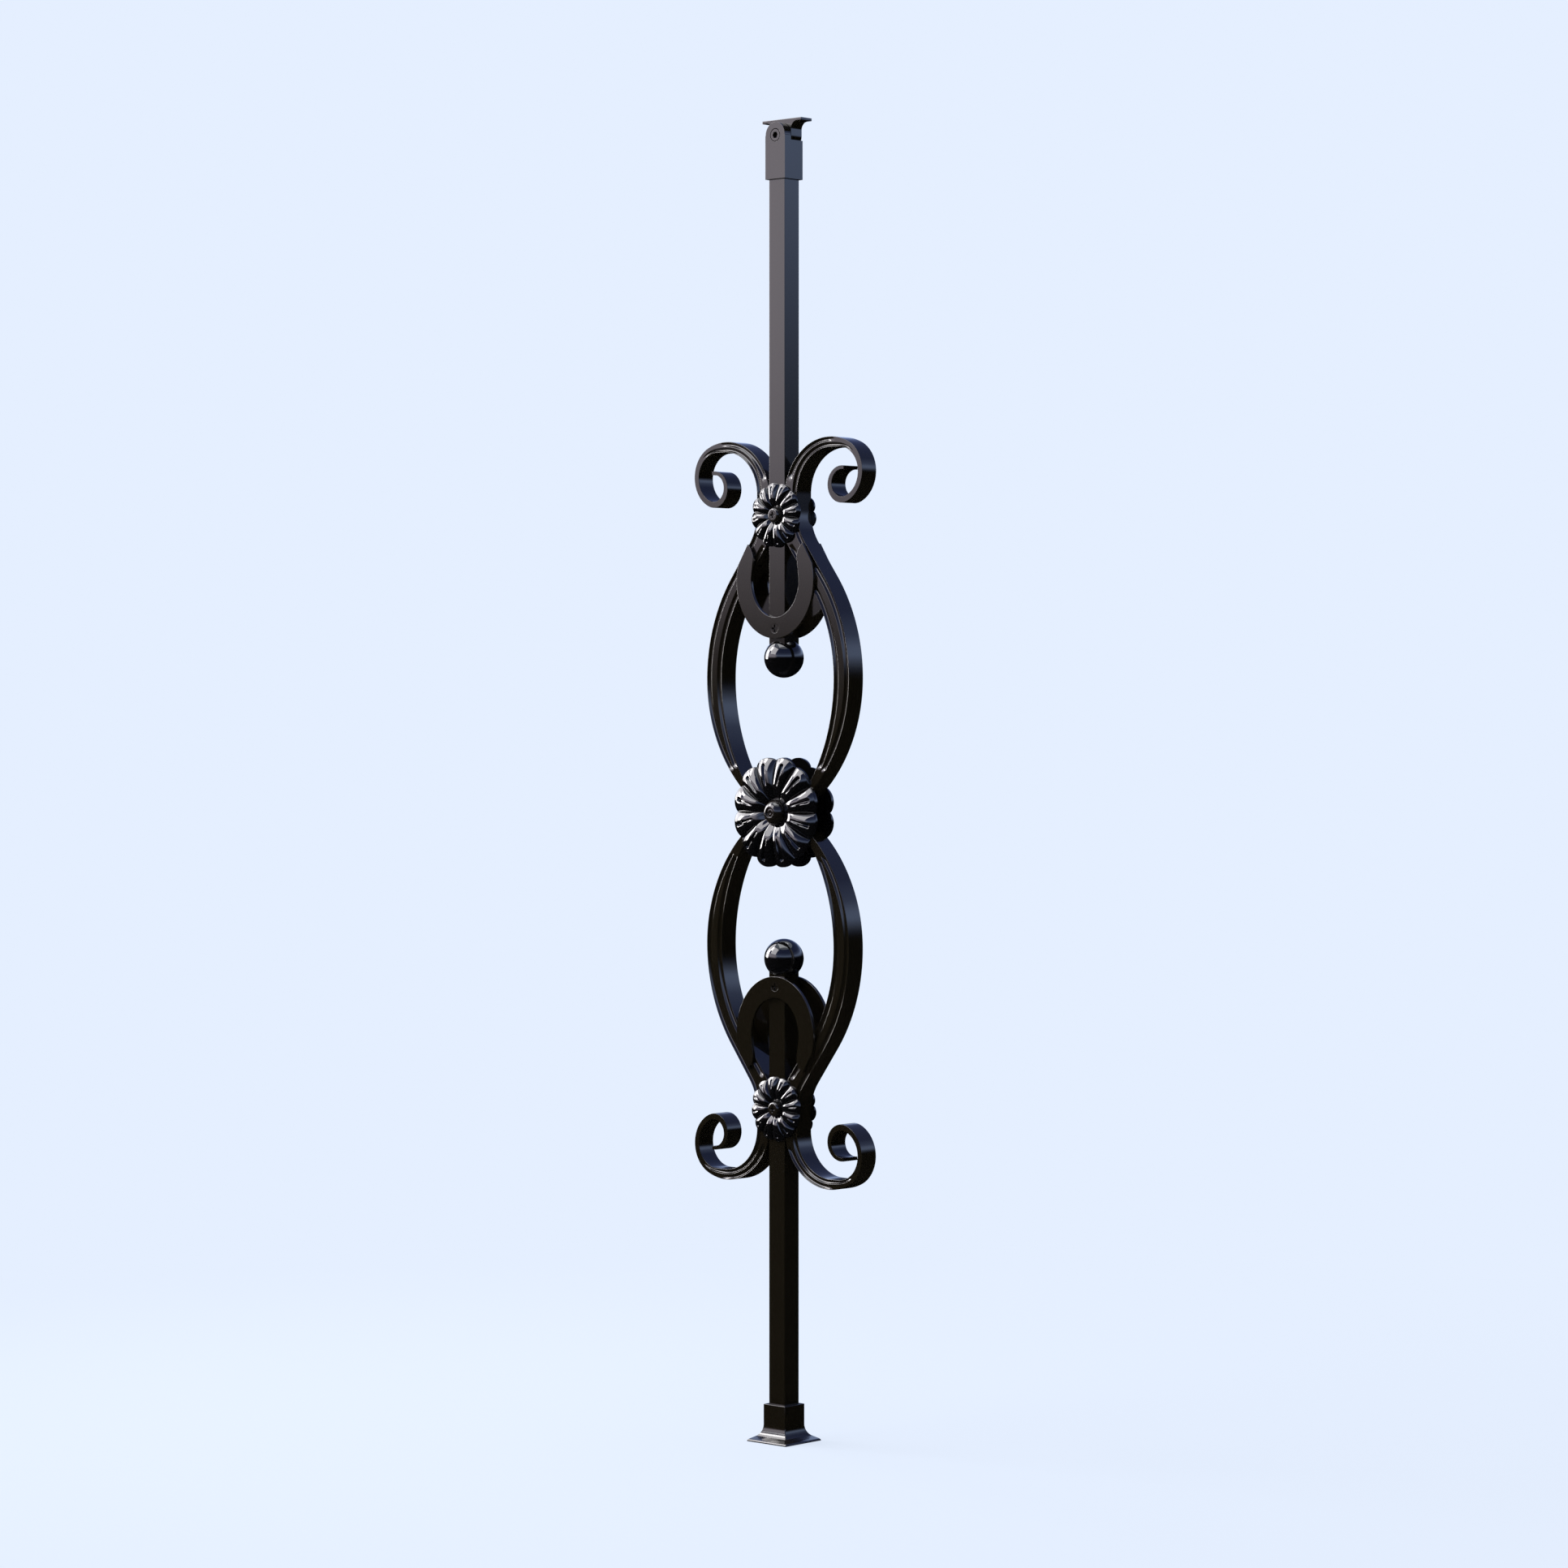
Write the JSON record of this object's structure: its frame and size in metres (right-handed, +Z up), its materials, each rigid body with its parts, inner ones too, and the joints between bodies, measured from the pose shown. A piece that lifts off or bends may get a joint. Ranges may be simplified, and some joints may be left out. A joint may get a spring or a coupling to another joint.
{
  "type": "stair baluster",
  "caption": "Iron stair baluster: square posts with ball ends, scrolled bars forming ovals, horseshoe plates, petal rosettes, a square base shoe and a swivelling rail plate.",
  "frame": {"origin": "centre of the base shoe's underside, on the floor", "axes": "+Z up along the posts, X across the scrolls, -Y is the front"},
  "size_m": [0.171, 0.04, 1],
  "materials": {
    "satin_black_paint": "satin",
    "gloss_black_paint": "gloss",
    "screw_black": "satin"
  },
  "bodies": {
    "baluster": {"base_shoe": "satin_black_paint", "lower_post": "satin_black_paint", "upper_post": "satin_black_paint", "lower_ball": "gloss_black_paint", "upper_ball": "gloss_black_paint", "left_scroll_bar": "satin_black_paint", "right_scroll_bar": "satin_black_paint", "lower_horseshoe_front": "satin_black_paint", "lower_horseshoe_screw_front": "screw_black", "lower_rosette_front": "gloss_black_paint", "lower_rosette_screw_front": "screw_black", "lower_horseshoe_rear": "satin_black_paint", "lower_horseshoe_screw_rear": "screw_black", "lower_rosette_rear": "gloss_black_paint", "lower_rosette_screw_rear": "screw_black", "upper_horseshoe_front": "satin_black_paint", "upper_horseshoe_screw_front": "screw_black", "upper_rosette_front": "gloss_black_paint", "upper_rosette_screw_front": "screw_black", "upper_horseshoe_rear": "satin_black_paint", "upper_horseshoe_screw_rear": "screw_black", "upper_rosette_rear": "gloss_black_paint", "upper_rosette_screw_rear": "screw_black", "large_rosette_front": "gloss_black_paint", "large_rosette_screw_front": "screw_black", "large_rosette_rear": "gloss_black_paint", "large_rosette_screw_rear": "screw_black", "rail_sleeve": "satin_black_paint", "pivot_screw": "screw_black", "pivot_nut": "screw_black"},
    "rail_swivel": {"rail_plate": "satin_black_paint"}
  },
  "joints": [
    {"name": "rail_tilt", "type": "hinge", "parent": "baluster", "child": "rail_swivel", "pos_m": [0, 0.0034, 0.9875], "axis": [0, 1, 0], "range_deg": [-40, 40]}
  ]
}
